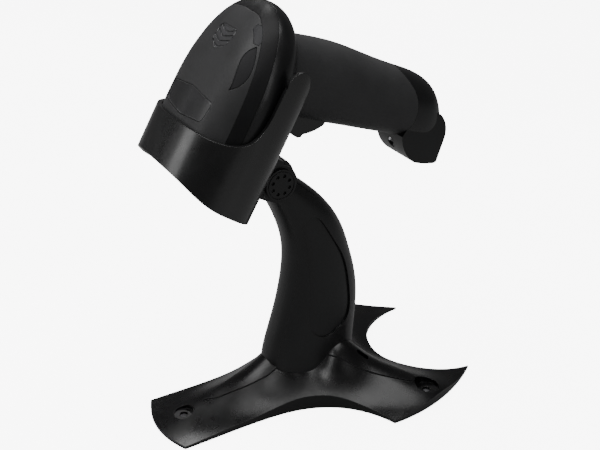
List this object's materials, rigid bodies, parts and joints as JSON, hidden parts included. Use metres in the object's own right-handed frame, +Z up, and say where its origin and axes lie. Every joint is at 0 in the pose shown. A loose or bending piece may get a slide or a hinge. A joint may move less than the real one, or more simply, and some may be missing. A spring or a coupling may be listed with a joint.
{
  "type": "handheld barcode scanner",
  "caption": "Pistol-grip handheld barcode scanner resting nose-down in the tilting cup of a curved three-legged counter stand.",
  "frame": {"origin": "centre of the stand's footprint at table level, on the middle plane of scanner and stand", "axes": "+Z up, -Y towards the goods being scanned, +X towards the scanner's left side"},
  "size_m": [0.117, 0.1764, 0.2196],
  "materials": {
    "cover_plastic": "matt textured dark grey moulding",
    "housing_plastic": "matt fine-textured near-black moulding",
    "gloss_plastic": "polished black moulding",
    "stand_plastic": "satin black moulding",
    "clear_window": "tinted clear scan window",
    "light_guide": "frosted translucent light guide",
    "steel": "zinc-plated steel",
    "weight_plate": "black painted steel plate",
    "rubber": "soft black rubber",
    "board": "green solder mask board",
    "lens": "coated lens",
    "battery_wrap": "heat-shrink sleeve",
    "contact_metal": "gold-flashed contact"
  },
  "bodies": {
    "stand": {"base_shell": "stand_plastic", "base_plate": "weight_plate", "rubber_feet": "rubber", "plate_screws": "steel", "neck_core": "stand_plastic", "neck_side_left": "stand_plastic", "neck_side_right": "stand_plastic", "neck_screws": "steel", "tilt_bolt": "steel", "friction_washers": "rubber", "pivot_cap_left": "gloss_plastic", "pivot_cap_right": "gloss_plastic"},
    "cradle": {"cup": "stand_plastic", "bracket": "stand_plastic", "bracket_screws": "steel"},
    "scanner": {"top_cover": "cover_plastic", "badge_plate": "housing_plastic", "speaker_grille": "gloss_plastic", "head_band": "cover_plastic", "side_inlay_left": "gloss_plastic", "side_inlay_right": "gloss_plastic", "light_pipe_left": "light_guide", "light_pipe_right": "light_guide", "lower_housing": "gloss_plastic", "housing_screws": "steel", "handle": "housing_plastic", "end_cap": "gloss_plastic", "contact_pads": "contact_metal", "cap_screw": "steel", "battery": "battery_wrap", "battery_contacts": "contact_metal", "trigger_pin": "steel", "trigger_switch": "housing_plastic", "trigger_spring": "steel", "nose_bezel": "gloss_plastic", "scan_window": "clear_window", "main_board": "board", "board_screws": "steel", "imager_chassis": "housing_plastic", "imager_lens": "lens", "aiming_lights": "light_guide", "beeper": "housing_plastic"},
    "trigger_lever": {"trigger": "gloss_plastic"},
    "plunger": {"switch_plunger": "gloss_plastic"}
  },
  "joints": [
    {"name": "cradle_tilt", "type": "hinge", "parent": "stand", "child": "cradle", "pos_m": [0, -0.02, 0.131], "axis": [1, 0, 0], "range_deg": [-40, 3]},
    {"name": "scanner_lift", "type": "slide", "parent": "cradle", "child": "scanner", "axis": [0, 0.5, 0.866], "range_m": [0, 0.11]},
    {"name": "trigger_pull", "type": "hinge", "parent": "scanner", "child": "trigger_lever", "pos_m": [0, -0.01232, 0.16871], "axis": [1, 0, 0], "range_deg": [0, 7], "deforming": ["trigger_spring"]},
    {"name": "plunger_press", "type": "slide", "parent": "scanner", "child": "plunger", "axis": [0, 0.5, 0.866], "range_m": [0, 0.0023]}
  ],
  "couplings": [
    {"joint": "plunger_press", "follows": "trigger_pull", "m_per_rad": 0.018}
  ]
}
